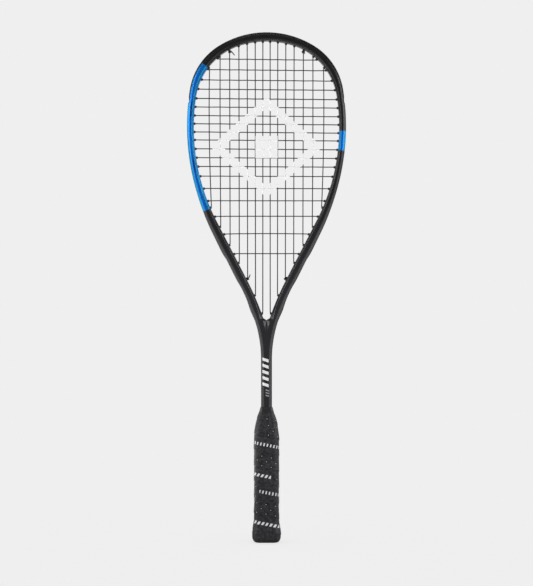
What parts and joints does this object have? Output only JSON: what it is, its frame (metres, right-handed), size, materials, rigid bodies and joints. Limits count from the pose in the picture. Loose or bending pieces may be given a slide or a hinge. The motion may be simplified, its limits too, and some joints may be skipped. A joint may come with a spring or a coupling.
{
  "type": "squash racket",
  "caption": "Strung racket for squash: a hollow teardrop hoop and shaft in one moulding, woven strings, a bumper and grommets, and a wrapped handle with a butt cap.",
  "frame": {"origin": "centre of the butt's end face, in the string plane", "axes": "+Z along the racket from the butt to the crown; the string plane is XZ; the front face looks along -Y; +X is to the right seen from the front"},
  "size_m": [0.2138, 0.0342, 0.686],
  "materials": {
    "frame_lacquer": "satin lacquer over carbon fibre composite, with two blue painted bands on the hoop",
    "bumper_nylon": "matt moulded nylon",
    "grommet_nylon": "matt moulded nylon",
    "string": "smooth black nylon",
    "foam": "closed-cell polyurethane foam",
    "butt_cap": "matt moulded plastic",
    "staple_steel": "bright steel wire",
    "putty": "soft balance putty",
    "grip": "perforated polyurethane grip tape with a slightly tacky satin surface",
    "finishing_tape": "thin elastic tape"
  },
  "bodies": {
    "root": {"frame": "frame_lacquer", "bumper_guard": "bumper_nylon", "grommet_strip_left": "grommet_nylon", "grommet_strip_right": "grommet_nylon", "main_string": "string", "cross_string": "string", "string_knots": "string", "handle_foam": "foam", "butt_cap": "butt_cap", "butt_cap_staples": "staple_steel", "shaft_plug": "foam", "balance_putty": "putty", "grip_tape": "grip", "finishing_tape": "finishing_tape"}
  },
  "joints": []
}
